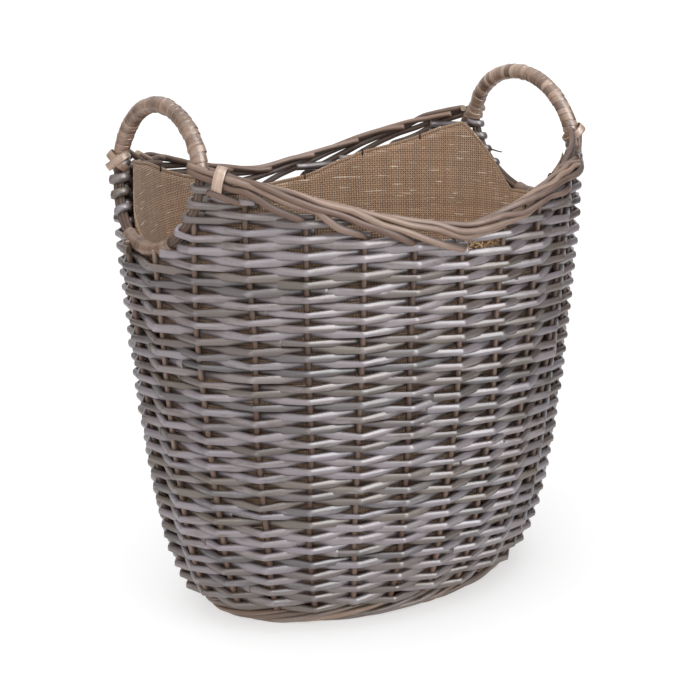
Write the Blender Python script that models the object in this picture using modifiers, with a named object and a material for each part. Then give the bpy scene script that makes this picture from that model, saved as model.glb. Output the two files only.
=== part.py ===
"""Oval wicker log basket with a hessian liner and two hoop handles.

Frame: metres, +Z up, origin on the ground under the middle of the basket.
X runs through the two handles (left handle at -X), and the near side is -Y.
The weaving is made as tall wavy courses that pass in front of one upright stake
and behind the next, as the real rows of rods do.
"""

import math

import bmesh
import bpy
import numpy as np
from mathutils import Matrix, Vector

# Driving dimensions. Half sizes are measured to the middle of the wall, where the stakes stand.
RIM_END_HEIGHT = 0.460
RIM_MIDDLE_HEIGHT = 0.390
RIM_SWEEP_POWER = 1.4
BASE_HALF_LENGTH = 0.165
BASE_HALF_WIDTH = 0.104
RIM_HALF_LENGTH = 0.2335
RIM_HALF_WIDTH = 0.185
HEEL_SOFTNESS = 0.0213
LENGTH_POWER = 0.10
WIDTH_POWER = 0.28

STAKE_COUNT = 26
STAKE_RADIUS = 0.003
STAKE_FLOOR_HEIGHT = 0.0200
STAKE_TAIL = 0.022

COURSE_EDGES = (0.0240, 0.052, 0.095, 0.150, 0.215, 0.285, 0.360)
COURSE_THICKNESS = 0.004
COURSE_GAP = 0.0005
STAKE_CLEARANCE = 0.0006
STATIONS_PER_STAKE = 2
SHOULDER_STATIONS_PER_STAKE = 8
SHOULDER_REACH_STAKES = 5.5

BORDER_RADIUS = 0.0085
BORDER_OVERHANG = 0.003
BORDER_END_ANGLE = math.radians(30)

HOOP_HALF_WIDTH = 0.0805
HOOP_HALF_HEIGHT = 0.0643
HOOP_CENTRE_HEIGHT = 0.436
HOOP_REACH = 0.2132
HOOP_LEAN = math.radians(12.9)
HOOP_CORE_RADIUS = 0.006
WRAP_THICKNESS = 0.0018
LASHING_THICKNESS = 0.0030
FIT_GAP = 0.0004
HOOP_STEPS = 36
GRIP_STEPS = (3, 15)
SILL_STEPS = (-13, -5)
LASHING_STEPS = (1, 2)

FOOT_HALF_LENGTH = 0.163
FOOT_HALF_WIDTH = 0.102
FOOT_RADIUS = 0.0082
FOOT_FLAT_HALF_WIDTH = 0.005

MAT_INSET = 0.0095
MAT_UNDERSIDE = 0.004
MAT_TOP = 0.012
CROSS_STICK_RADIUS = 0.0042
LONG_STICK_RADIUS = 0.0028
CROSS_STICK_PITCH = 0.070
LONG_STICK_PITCH = 0.0090
STICK_END_GAP = 0.003

LINER_THICKNESS = 0.0016
LINER_OFFSET = -0.0085
LINER_FLOOR = 0.0245
LINER_BELOW_RIM = 0.006
LINER_BELOW_HOOP = 0.0100

STATIONS = STAKE_COUNT * STATIONS_PER_STAKE
WAVE_HEIGHT = STAKE_RADIUS + COURSE_THICKNESS / 2 + STAKE_CLEARANCE


# ---------- the basket's shape ----------

def flare(height, power):
    """0 at the ground and 1 at the rim's ends, rising fast round the heel."""
    low = HEEL_SOFTNESS ** power
    high = (1 + HEEL_SOFTNESS) ** power
    here = (height / RIM_END_HEIGHT + HEEL_SOFTNESS) ** power
    return (here - low) / (high - low)


def half_sizes(height):
    length = BASE_HALF_LENGTH + (RIM_HALF_LENGTH - BASE_HALF_LENGTH) * flare(height, LENGTH_POWER)
    width = BASE_HALF_WIDTH + (RIM_HALF_WIDTH - BASE_HALF_WIDTH) * flare(height, WIDTH_POWER)
    return length, width


def oval_point(half_length, half_width, angle, height, offset=0.0):
    """A point on an oval, moved outwards at right angles to it by offset."""
    outward = Vector((math.cos(angle) / half_length, math.sin(angle) / half_width, 0)).normalized()
    on_oval = Vector((half_length * math.cos(angle), half_width * math.sin(angle), height))
    return on_oval + outward * offset


def wall_point(angle, height, offset=0.0):
    return oval_point(*half_sizes(height), angle, height, offset)


def even_walk(samples=1440):
    """Shares of the way round the wall at half height, and the angles reached after them."""
    length, width = half_sizes(RIM_END_HEIGHT / 2)
    angles = np.linspace(0, 2 * math.pi, samples + 1)
    steps = np.hypot(np.diff(length * np.cos(angles)), np.diff(width * np.sin(angles)))
    walked = np.concatenate(([0], np.cumsum(steps)))
    return walked / walked[-1], angles


WALKED_SHARES, WALKED_ANGLES = even_walk()


def stake_angle(number):
    """The angle of a stake. They stand evenly round the wall, and numbers between them are places between them."""
    share = (number - 0.5) / STAKE_COUNT
    return float(np.interp(share % 1, WALKED_SHARES, WALKED_ANGLES)) + 2 * math.pi * math.floor(share)


def stations():
    """Stake numbers at the stakes and halfway between them, all round."""
    return [1 + i / STATIONS_PER_STAKE for i in range(STATIONS)]


def rim_height(angle):
    rise = RIM_END_HEIGHT - RIM_MIDDLE_HEIGHT
    return RIM_MIDDLE_HEIGHT + rise * abs(math.cos(angle)) ** RIM_SWEEP_POWER


def hoop_points(first, last):
    """Points of a hoop in its own flat plane. Step 0 is its far leg, and a quarter of the steps is its top."""
    turns = [2 * math.pi * step / HOOP_STEPS for step in range(first, last + 1)]
    slant_height = HOOP_HALF_HEIGHT / math.cos(HOOP_LEAN)
    return [Vector((HOOP_HALF_WIDTH * math.cos(turn), slant_height * math.sin(turn), 0)) for turn in turns]


def hoop_place(side):
    """Stands the flat hoop on its end of the basket, with its top leaning inwards."""
    across = Vector((0, 1, 0))
    upwards = Vector((-side * math.sin(HOOP_LEAN), 0, math.cos(HOOP_LEAN)))
    place = Matrix((across, upwards, across.cross(upwards))).transposed().to_4x4()
    place.translation = (side * HOOP_REACH, 0, HOOP_CENTRE_HEIGHT)
    return place


def notch_edge(angle, clearance):
    """Height of the weaving's edge under a hoop, or None where no hoop stands above it."""
    across = abs(RIM_HALF_WIDTH * math.sin(angle)) / (HOOP_HALF_WIDTH + clearance)
    if across >= 1:
        return None
    return HOOP_CENTRE_HEIGHT - (HOOP_HALF_HEIGHT + clearance) * math.sqrt(1 - across ** 2)


def wall_top(angle, below_rim, below_hoop):
    """Top of the weaving at an angle: under the border, or under a hoop in the hand holes."""
    under_border = rim_height(angle) - below_rim
    under_hoop = notch_edge(angle, below_hoop)
    return under_border if under_hoop is None else min(under_border, under_hoop)


# ---------- making objects ----------

def start_collections():
    for thing in list(bpy.data.objects):
        bpy.data.objects.remove(thing)
    basket = bpy.data.collections.new("wicker_log_basket")
    cutters = bpy.data.collections.new("cutters")
    for collection in (basket, cutters):
        bpy.context.scene.collection.children.link(collection)
    return basket, cutters


def make_material(name, colour, roughness):
    material = bpy.data.materials.new(name)
    material.use_nodes = True
    shader = material.node_tree.nodes["Principled BSDF"]
    shader.inputs["Base Color"].default_value = (*colour, 1)
    shader.inputs["Roughness"].default_value = roughness
    shader.inputs["Metallic"].default_value = 0
    return material


def mesh_object(name, points, faces, material, collection):
    mesh = bpy.data.meshes.new(name)
    mesh.from_pydata([tuple(p) for p in points], [], faces)
    mesh.materials.append(material)
    made = bpy.data.objects.new(name, mesh)
    collection.objects.link(made)
    return made


def tube(name, points, radius, material, collection, closed=False, capped=True, sides_level=2):
    """A round rod along points, as a curve."""
    curve = bpy.data.curves.new(name, "CURVE")
    curve.dimensions = "3D"
    curve.bevel_depth = radius
    curve.bevel_resolution = sides_level
    curve.use_fill_caps = capped
    spline = curve.splines.new("POLY")
    spline.points.add(len(points) - 1)
    for place, point in zip(spline.points, points):
        place.co = (*point, 1)
    spline.use_cyclic_u = closed
    spline.use_smooth = True
    curve.materials.append(material)
    made = bpy.data.objects.new(name, curve)
    collection.objects.link(made)
    return made


def as_mesh(curve_object):
    """Turns a curve object into a closed mesh object that a Boolean can use."""
    graph = bpy.context.evaluated_depsgraph_get()
    mesh = bpy.data.meshes.new_from_object(curve_object.evaluated_get(graph))
    welded = bmesh.new()
    welded.from_mesh(mesh)
    bmesh.ops.remove_doubles(welded, verts=welded.verts, dist=1e-6)
    welded.to_mesh(mesh)
    welded.free()
    name = curve_object.name
    collection = curve_object.users_collection[0]
    placed = curve_object.matrix_world.copy()
    bpy.data.objects.remove(curve_object)
    made = bpy.data.objects.new(name, mesh)
    made.matrix_world = placed
    collection.objects.link(made)
    return made


def cut(target, cutter):
    cutter.hide_render = True
    cutter.display_type = "WIRE"
    boolean = target.modifiers.new("cut_" + cutter.name, "BOOLEAN")
    boolean.operation = "DIFFERENCE"
    boolean.object = cutter


def loft(name, sections, material, collection, closed):
    """A solid through rings of points. Closed joins the last section to the first; open caps both ends."""
    corners = len(sections[0])
    count = len(sections)
    points = [p for section in sections for p in section]
    faces = []
    for i in range(count if closed else count - 1):
        here = i * corners
        there = (i + 1) % count * corners
        for k in range(corners):
            after = (k + 1) % corners
            faces.append((here + k, there + k, there + after, here + after))
    if not closed:
        faces.append(tuple(range(corners)))
        faces.append(tuple(reversed(range((count - 1) * corners, count * corners))))
    return mesh_object(name, points, faces, material, collection)


# ---------- the basket's pieces ----------

def make_stake(number, material, collection):
    """An upright rod: its tail lies on the base mat, and it follows the wall to under the border or hoop."""
    angle = stake_angle(number)
    top = wall_top(angle, BORDER_RADIUS + 0.001, HOOP_CORE_RADIUS + 0.005)
    bend = wall_point(angle, STAKE_FLOOR_HEIGHT)
    points = [wall_point(angle, STAKE_FLOOR_HEIGHT, -STAKE_TAIL), bend]
    points += [wall_point(angle, z) for z in COURSE_EDGES if z < top - 0.004]
    points.append(wall_point(angle, top))
    return tube(f"stake_{number:02d}", points, STAKE_RADIUS, material, collection, sides_level=1)


def course_section(number, low, high, side):
    """Four corners of a course at a stake number. side is +1 or -1: which stakes it passes in front of."""
    angle = stake_angle(number)
    wave = side * WAVE_HEIGHT * math.cos(math.pi * number)
    half = COURSE_THICKNESS / 2
    return [
        wall_point(angle, low, wave - half),
        wall_point(angle, low, wave + half),
        wall_point(angle, high, wave + half),
        wall_point(angle, high, wave - half),
    ]


def make_course(number, material, collection):
    """A full ring of weaving between two heights."""
    low = COURSE_EDGES[number - 1] + COURSE_GAP
    high = COURSE_EDGES[number] - COURSE_GAP
    side = 1 if number % 2 else -1
    sections = [course_section(place, low, high, side) for place in stations()]
    return loft(f"weave_course_{number}", sections, material, collection, closed=True)


def make_shoulder(name, middle_stake, material, collection):
    """The weaving above the full courses on one long side, cut away round the hoops at both ends."""
    low = COURSE_EDGES[-1] + COURSE_GAP
    reach = int(SHOULDER_REACH_STAKES * SHOULDER_STATIONS_PER_STAKE)
    sections = []
    for i in range(-reach, reach + 1):
        place = middle_stake + i / SHOULDER_STATIONS_PER_STAKE
        high = wall_top(stake_angle(place), BORDER_RADIUS + 0.0008, HOOP_CORE_RADIUS + 0.0045)
        sections.append(course_section(place, low, high, 1))
    return loft(name, sections, material, collection, closed=False)


def make_border(name, middle_angle, material, collection):
    """The rolled rod border along one long side, from handle to handle."""
    half_span = math.pi / 2 - BORDER_END_ANGLE
    steps = 20
    points = []
    for i in range(steps + 1):
        angle = middle_angle + half_span * (2 * i / steps - 1)
        points.append(wall_point(angle, rim_height(angle), BORDER_OVERHANG))
    return tube(name, points, BORDER_RADIUS, material, collection)


def make_foot(material, collection):
    """The border under the basket: an oval ring, flat where it stands on the ground."""
    radius = FOOT_RADIUS
    flat = FOOT_FLAT_HALF_WIDTH
    profile = [(-flat, 0), (flat, 0)]
    rounds = 6
    start = -math.radians(35)
    sweep = math.pi - 2 * start
    profile += [
        (radius * math.cos(start + sweep * i / rounds), radius + radius * math.sin(start + sweep * i / rounds))
        for i in range(rounds + 1)
    ]
    sections = [
        [oval_point(FOOT_HALF_LENGTH, FOOT_HALF_WIDTH, stake_angle(place), z, r) for r, z in profile]
        for place in stations()
    ]
    return loft("foot_border", sections, material, collection, closed=True)


def make_base(materials, collection, cutters):
    """The woven mat of the floor on its slath: long sticks threaded through slots in cross sticks."""
    length = FOOT_HALF_LENGTH - MAT_INSET
    width = FOOT_HALF_WIDTH - MAT_INSET
    levels = [
        [oval_point(length, width, stake_angle(place), z) for place in stations()]
        for z in (MAT_UNDERSIDE, MAT_TOP)
    ]
    mat = loft("base_mat", levels, materials["weave"], collection, closed=False)

    slot_height = 2 * (LONG_STICK_RADIUS + FIT_GAP)
    slot_width = LONG_STICK_PITCH + slot_height
    for row in (-1, 0, 1):
        along = row * CROSS_STICK_PITCH
        half = width * math.sqrt(1 - (along / length) ** 2) - STICK_END_GAP
        ends = [Vector((along, -half, MAT_TOP)), Vector((along, half, MAT_TOP))]
        stick = as_mesh(tube(f"cross_stick_{row + 2}", ends, CROSS_STICK_RADIUS, materials["stake"], collection))
        bpy.ops.mesh.primitive_cube_add(size=1, location=(along, 0, MAT_TOP))
        slot = bpy.context.object
        slot.name = f"slot_{row + 2}"
        slot.scale = (4 * CROSS_STICK_RADIUS, slot_width, slot_height)
        for collection_now in list(slot.users_collection):
            collection_now.objects.unlink(slot)
        cutters.objects.link(slot)
        cut(stick, slot)
        groove = as_mesh(tube(f"groove_{row + 2}", [e * 1.2 - Vector((0.2 * along, 0, 0.2 * MAT_TOP)) for e in ends],
                              CROSS_STICK_RADIUS + FIT_GAP, materials["stake"], cutters))
        cut(mat, groove)
    for row in (-1, 1):
        across = row * LONG_STICK_PITCH / 2
        half = length - STICK_END_GAP
        ends = [Vector((-half, across, MAT_TOP)), Vector((half, across, MAT_TOP))]
        tube(f"long_stick_{(row + 3) // 2}", ends, LONG_STICK_RADIUS, materials["stake"], collection)
        groove = as_mesh(tube(f"long_groove_{(row + 3) // 2}",
                              [Vector((1.2 * e.x, e.y, e.z)) for e in ends],
                              LONG_STICK_RADIUS + FIT_GAP, materials["stake"], cutters))
        cut(mat, groove)


def make_sleeve(name, steps, side, thickness, material, collection):
    """A wrapping round part of a hoop, as a hollow tube."""
    outer = HOOP_CORE_RADIUS + FIT_GAP + thickness
    sleeve = tube(name, hoop_points(*steps), outer, material, collection, capped=False)
    sleeve.matrix_world = hoop_place(side)
    shell = sleeve.modifiers.new("wall", "SOLIDIFY")
    shell.thickness = thickness
    shell.offset = -1
    return sleeve


def make_handle(label, side, materials, collection):
    """A closed hoop of rods: its top half is the grip and its lower half edges the hand hole."""
    hoop = tube(f"handle_hoop_{label}", hoop_points(0, HOOP_STEPS - 1), HOOP_CORE_RADIUS,
                materials["border"], collection, closed=True)
    hoop.matrix_world = hoop_place(side)
    make_sleeve(f"grip_wrap_{label}", GRIP_STEPS, side, WRAP_THICKNESS, materials["cane"], collection)
    make_sleeve(f"sill_wrap_{label}", SILL_STEPS, side, WRAP_THICKNESS, materials["cane"], collection)
    first, last = LASHING_STEPS
    half_round = HOOP_STEPS // 2
    for leg, steps in (("far", (first, last)), ("near", (half_round - last, half_round - first))):
        make_sleeve(f"cane_lashing_{label}_{leg}", steps, side, LASHING_THICKNESS, materials["cane"], collection)


def make_liner(material, collection):
    """The hessian bag inside the wall: an open surface with a small thickness, cut down at the hand holes."""
    angles = [stake_angle(place) for place in stations()]
    tops = [wall_top(angle, LINER_BELOW_RIM, LINER_BELOW_HOOP) for angle in angles]
    levels = [LINER_FLOOR, *COURSE_EDGES[1:-1], COURSE_EDGES[-1] - 0.003]
    points = [wall_point(angle, z, LINER_OFFSET) for z in levels for angle in angles]
    points += [wall_point(angle, top, LINER_OFFSET) for angle, top in zip(angles, tops)]
    faces = []
    for row in range(len(levels)):
        low, high = row * STATIONS, (row + 1) * STATIONS
        for i in range(STATIONS):
            after = (i + 1) % STATIONS
            faces.append((low + i, low + after, high + after, high + i))
    faces.append(tuple(reversed(range(STATIONS))))
    liner = mesh_object("hessian_liner", points, faces, material, collection)
    shell = liner.modifiers.new("cloth", "SOLIDIFY")
    shell.thickness = LINER_THICKNESS
    shell.offset = -1
    return liner


def build():
    basket, cutters = start_collections()
    materials = {
        "stake": make_material("stake_willow", (0.30, 0.17, 0.11), 0.6),
        "weave": make_material("washed_willow", (0.36, 0.32, 0.29), 0.55),
        "border": make_material("buff_willow", (0.42, 0.26, 0.18), 0.5),
        "cane": make_material("split_cane", (0.38, 0.27, 0.19), 0.45),
        "hessian": make_material("hessian", (0.42, 0.28, 0.17), 0.95),
    }
    for number in range(1, STAKE_COUNT + 1):
        make_stake(number, materials["stake"], basket)
    for number in range(1, len(COURSE_EDGES)):
        make_course(number, materials["weave"], basket)
    far_stake = STAKE_COUNT / 4 + 0.5
    sides = (("far", far_stake, math.pi / 2), ("near", far_stake + STAKE_COUNT / 2, -math.pi / 2))
    for name, middle_stake, middle_angle in sides:
        make_shoulder(f"shoulder_weave_{name}", middle_stake, materials["weave"], basket)
        make_border(f"rim_border_{name}", middle_angle, materials["border"], basket)
    make_foot(materials["border"], basket)
    make_base(materials, basket, cutters)
    for label, side in (("left", -1), ("right", 1)):
        make_handle(label, side, materials, basket)
    make_liner(materials["hessian"], basket)


build()
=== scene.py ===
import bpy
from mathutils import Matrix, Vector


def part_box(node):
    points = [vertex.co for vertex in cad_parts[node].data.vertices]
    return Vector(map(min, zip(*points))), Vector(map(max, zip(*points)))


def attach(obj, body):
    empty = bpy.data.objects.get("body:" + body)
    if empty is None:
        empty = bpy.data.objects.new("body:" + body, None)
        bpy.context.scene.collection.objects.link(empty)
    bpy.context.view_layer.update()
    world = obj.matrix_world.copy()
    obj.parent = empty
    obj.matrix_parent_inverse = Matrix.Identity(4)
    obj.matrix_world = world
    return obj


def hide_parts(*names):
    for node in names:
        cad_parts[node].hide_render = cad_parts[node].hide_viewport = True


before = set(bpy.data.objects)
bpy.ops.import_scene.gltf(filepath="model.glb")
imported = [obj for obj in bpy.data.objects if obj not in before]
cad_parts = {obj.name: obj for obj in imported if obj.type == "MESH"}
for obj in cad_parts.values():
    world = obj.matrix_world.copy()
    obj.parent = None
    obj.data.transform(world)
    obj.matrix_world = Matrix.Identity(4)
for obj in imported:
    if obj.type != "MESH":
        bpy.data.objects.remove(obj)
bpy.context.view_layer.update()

import math

import bpy
import numpy as np
from mathutils import Matrix

# the basket's shape, as the frame has it (metres)
wall = {
    "endHeight": 0.460,      # the rim's height at the handles
    "dipHeight": 0.390,      # and at the middle of the long sides
    "sweep": 1.4,
    "baseLength": 0.1635,    # half sizes, to the middle of the wall
    "baseWidth": 0.104,
    "rimLength": 0.2335,
    "rimWidth": 0.185,
    "heel": 0.0213,
    "lengthPower": 0.10,
    "widthPower": 0.28,
    "belly": 0.0030,         # how far the wall swells, and the heights where that starts, is full, and ends
    "bellyHeights": (0.025, 0.070, 0.395, 0.445),
    "stakes": 26,
    "stakeRadius": 0.0031,
}
hoop = {"halfWidth": 0.0805, "halfHeight": 0.0643, "height": 0.436, "reach": 0.2098,
        "lean": math.radians(9.4), "bow": 1.1}


def flare(height, power):
    # 0 at the ground and 1 at the rim's ends: a power curve that rises fast round the heel
    low, high = wall["heel"] ** power, (1 + wall["heel"]) ** power
    return ((np.maximum(height, 0) / wall["endHeight"] + wall["heel"]) ** power - low) / (high - low)


def halfSizes(height):
    longer, wider = wall["rimLength"] - wall["baseLength"], wall["rimWidth"] - wall["baseWidth"]
    length = wall["baseLength"] + longer * flare(height, wall["lengthPower"])
    width = wall["baseWidth"] + wider * flare(height, wall["widthPower"])
    belly = wall["belly"] * np.interp(height, wall["bellyHeights"], (0, 1, 1, 0))
    return length + belly, width + belly


def unit(vectors):
    return vectors / np.maximum(np.linalg.norm(vectors, axis=-1, keepdims=True), 1e-12)


def walkedAlong(path):
    # how far along a path each of its points is
    return np.concatenate([[0], np.cumsum(np.linalg.norm(np.diff(path, axis=0), axis=1))])


def wallOut(angle, height):
    # level unit vectors at right angles to the wall's oval
    length, width = halfSizes(height)
    out = np.stack([np.cos(angle) / length, np.sin(angle) / width, np.zeros_like(angle)], -1)
    return out / np.linalg.norm(out, axis=-1, keepdims=True)


def wallPoint(angle, height, offset=0.0):
    # a point on the wall's oval at a height, moved out by offset
    angle, height, offset = np.broadcast_arrays(*(np.asarray(v, float) for v in (angle, height, offset)))
    length, width = halfSizes(height)
    flat = np.stack([length * np.cos(angle), width * np.sin(angle), height], -1)
    return flat + wallOut(angle, height) * offset[..., None]


def evenWalk(samples=1440):
    # shares of the way round the wall at half height, and the angles reached after them
    length, width = halfSizes(wall["endHeight"] / 2)
    angles = np.linspace(0, 2 * math.pi, samples + 1)
    walked = walkedAlong(np.stack([length * np.cos(angles), width * np.sin(angles)], 1))
    return walked / walked[-1], angles


walkedShares, walkedAngles = evenWalk()


def stakeAngle(number):
    # stakes stand evenly round the wall; numbers between them are places between them
    share = (np.asarray(number, float) - 0.5) / wall["stakes"]
    return np.interp(share % 1, walkedShares, walkedAngles) + 2 * math.pi * np.floor(share)


def rimHeight(angle):
    rise = wall["endHeight"] - wall["dipHeight"]
    return wall["dipHeight"] + rise * np.abs(np.cos(angle)) ** wall["sweep"]


def ringPoint(side, turn):
    # the middle of a hoop: turn 0 is its far leg, a quarter turn is the top of the grip
    rise = hoop["halfHeight"] * np.sin(turn)
    reach = hoop["reach"] - math.tan(hoop["lean"]) * rise + hoop["bow"] * rise ** 2
    return np.stack([side * reach, hoop["halfWidth"] * np.cos(turn), hoop["height"] + rise], -1)


def hoopAxes(side):
    # a hoop's middle, and the unit vectors out of its plane and up in it
    lean = hoop["lean"]
    return (np.array([side * hoop["reach"], 0, hoop["height"]]),
            np.array([side * math.cos(lean), 0, math.sin(lean)]),
            np.array([-side * math.sin(lean), 0, math.cos(lean)]))


def acrossPath(path, facing):
    # two unit vectors at right angles to a path at each point: the one nearest to facing, and one beside it
    along = unit(np.gradient(path, axis=0))
    out = unit(facing - (facing * along).sum(1, keepdims=True) * along)
    return out, np.cross(along, out)


def roundGrid(rows, columns):
    # the faces of a grid that closes round its columns, with the row, column and next column of each
    i, j = np.meshgrid(np.arange(rows - 1), np.arange(columns), indexing="ij")
    after = (j + 1) % columns
    here, above = i * columns, (i + 1) * columns
    return np.stack([here + j, here + after, above + after, above + j], -1), i, j, after


def meshFrom(name, points, quads, caps, uv, values, faceValues=None):
    # points, quads as an array, caps as lists of corners; values are per point, faceValues per face
    mesh = bpy.data.meshes.new(name)
    mesh.from_pydata(points, [], quads.tolist() + caps)
    layer = mesh.uv_layers.new(name="along")
    flat = np.zeros((len(mesh.loops), 2), np.float32)
    flat[: uv.shape[0]] = uv
    layer.data.foreach_set("uv", flat.ravel())
    for title, numbers in values.items():
        attribute = mesh.attributes.new(title, "FLOAT", "POINT")
        attribute.data.foreach_set("value", np.asarray(numbers, np.float32))
    cut = np.zeros(len(mesh.polygons), np.float32)
    cut[len(quads):] = 1
    mesh.attributes.new("cut", "FLOAT", "FACE").data.foreach_set("value", cut)
    mesh.polygons.foreach_set("use_smooth", cut < 0.5)
    mesh.update()
    return mesh


def added(name, data):
    made = bpy.data.objects.new(name, data)
    bpy.context.scene.collection.objects.link(made)
    return made


def piece(name, mesh, material, slot, *replaced):
    made = added(name, mesh)
    mesh.materials.append(material)
    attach(made, "root")
    if replaced:
        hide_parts(*replaced)
    return made


def evenly(path, spacing, soften=0):
    # the same table with its points evenly spaced; soften is how many times neighbours are averaged
    walked = walkedAlong(path[:, :3])
    count = max(4, int(walked[-1] / spacing) + 1)
    wanted = np.linspace(0, walked[-1], count)
    out = np.stack([np.interp(wanted, walked, path[:, k]) for k in range(path.shape[1])], 1)
    for _ in range(soften):
        out[1:-1] = 0.25 * out[:-2] + 0.5 * out[1:-1] + 0.25 * out[2:]
    return out


patternRound = 0.024         # the length of willow pattern that goes round a rod


def rodMesh(name, rods, sides=8):
    # each rod is a path with a radius at each point: its rings have a corner towards rod["out"], and their
    # section is a circle's cosine and sine, each raised to the rod's squareness
    points, quads, caps, uvs, tones, shades, prouds = [], [], [], [], [], [], []
    base = 0
    turns = 2 * math.pi * np.arange(sides) / sides
    for rod in rods:
        path, radius = rod["path"], rod["radius"]
        count = len(path)
        out, beside = acrossPath(path, rod["out"])
        depth, squareness = rod.get("depth", 1.0), rod.get("squareness", 1.0)
        outShare = depth * np.sign(np.cos(turns)) * np.abs(np.cos(turns)) ** squareness
        sideShare = np.sign(np.sin(turns)) * np.abs(np.sin(turns)) ** squareness
        ring = path[:, None] + radius[:, None, None] * (
            outShare[None, :, None] * out[:, None] + sideShare[None, :, None] * beside[:, None])
        points.append(ring.reshape(-1, 3))
        faces, i, j, _ = roundGrid(count, sides)
        quads.append(base + faces.reshape(-1, 4))
        walked = walkedAlong(path) + rod["start"]
        u = np.stack([walked[i], walked[i], walked[i + 1], walked[i + 1]], -1)
        v = np.stack([j, j + 1, j + 1, j], -1) / sides * patternRound
        uvs.append(np.stack([u, v], -1).reshape(-1, 2))
        caps.append((base + np.arange(sides))[::-1].tolist())
        caps.append((base + (count - 1) * sides + np.arange(sides)).tolist())
        tones.append(np.full(count * sides, rod["tone"]))
        shades.append(np.full(count * sides, rod.get("shade", 0.5)))
        # how proud each point stands out of the wall; the finishes paint shade where this is low
        proud = rod.get("proud", np.zeros(count))
        prouds.append((proud[:, None] + radius[:, None] * np.cos(turns)[None]).ravel())
        base += count * sides
    return meshFrom(name, np.concatenate(points), np.concatenate(quads), caps, np.concatenate(uvs),
                    {"tone": np.concatenate(tones), "shade": np.concatenate(shades),
                     "proud": np.concatenate(prouds)})


def rodPiece(name, rods, material, slot, replaced=None, sides=8):
    return piece(name, rodMesh(name, rods, sides), material, slot, *([replaced] if replaced else []))


def newRod(draw, path, out, radius, **more):
    # a rod whose tone, shade and place in the pattern are drawn at random
    return {"path": path, "out": out, "radius": radius, "tone": draw.random(), "shade": draw.random(),
            "start": draw.random() * 9, **more}


class Socket:
    # a shader socket that can be used in sums
    def __init__(self, tree, link):
        self.tree, self.link = tree, link

    def maths(self, operation, *others):
        values = dict(enumerate((self, *others)))
        return self.tree.node("ShaderNodeMath", {"operation": operation}, values)

    def __add__(self, other):
        return self.maths("ADD", other)

    def __sub__(self, other):
        return self.maths("SUBTRACT", other)

    def __rsub__(self, other):
        return self.maths("MULTIPLY", -1) + other

    def __mul__(self, other):
        return self.maths("MULTIPLY", other)

    def __pow__(self, other):
        return self.maths("POWER", other)

    __radd__ = __add__
    __rmul__ = __mul__


class Finish:
    # one Principled material and the nodes that feed it
    def __init__(self, name, roughness=0.6, specular=0.4, sheen=0.0):
        self.material = bpy.data.materials.new(name)
        self.material.use_nodes = True
        self.nodes = self.material.node_tree.nodes
        self.links = self.material.node_tree.links
        self.shader = self.nodes["Principled BSDF"]
        self.shader.inputs["Roughness"].default_value = roughness
        self.shader.inputs["Specular IOR Level"].default_value = specular
        self.shader.inputs["Sheen Weight"].default_value = sheen

    def node(self, kind, settings=None, inputs=None, output=0):
        made = self.nodes.new(kind)
        for title, value in (settings or {}).items():
            if title == "stops":
                ramp = made.color_ramp
                while len(ramp.elements) < len(value):
                    ramp.elements.new(0.5)
                for element, (position, colour) in zip(ramp.elements, value):
                    element.position, element.color = position, (*colour, 1)
            else:
                setattr(made, title, value)
        for title, value in (inputs or {}).items():
            if isinstance(value, Socket):
                self.links.new(value.link, made.inputs[title])
            else:
                made.inputs[title].default_value = value
        return Socket(self, made.outputs[output])

    def feed(self, title, value):
        self.links.new(value.link, self.shader.inputs[title])

    def value(self, title):
        return self.node("ShaderNodeAttribute", {"attribute_name": title}, output="Fac")

    def uv(self, scale):
        made = self.node("ShaderNodeUVMap", {"uv_map": "along"})
        return self.node("ShaderNodeMapping", {}, {"Vector": made, "Scale": (*scale, 1)})

    def noise(self, vector, scale, detail=3.0, roughness=0.55):
        return self.node("ShaderNodeTexNoise", {"noise_dimensions": "3D"},
                         {"Vector": vector, "Scale": scale, "Detail": detail, "Roughness": roughness}, "Fac")

    def between(self, value, low, high):
        # 0 below low, 1 above high, smooth between
        return self.node("ShaderNodeMapRange", {"interpolation_type": "SMOOTHSTEP"},
                         {"Value": value, "From Min": low, "From Max": high}, "Result")

    def mix(self, factor, first, second):
        made = self.nodes.new("ShaderNodeMix")
        made.data_type = "RGBA"
        for index, value in ((0, factor), (6, first), (7, second)):
            if isinstance(value, Socket):
                self.links.new(value.link, made.inputs[index])
            else:
                made.inputs[index].default_value = value if index == 0 else (*value, 1)
        return Socket(self, made.outputs[2])

    def bump(self, height, strength, distance):
        self.feed("Normal", self.node("ShaderNodeBump", {}, {"Height": height, "Strength": strength,
                                                             "Distance": distance}, "Normal"))


def plainFinish(name, colour, roughness, specular):
    made = Finish(name, roughness, specular)
    made.shader.inputs["Base Color"].default_value = (*colour, 1)
    return made


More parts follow.
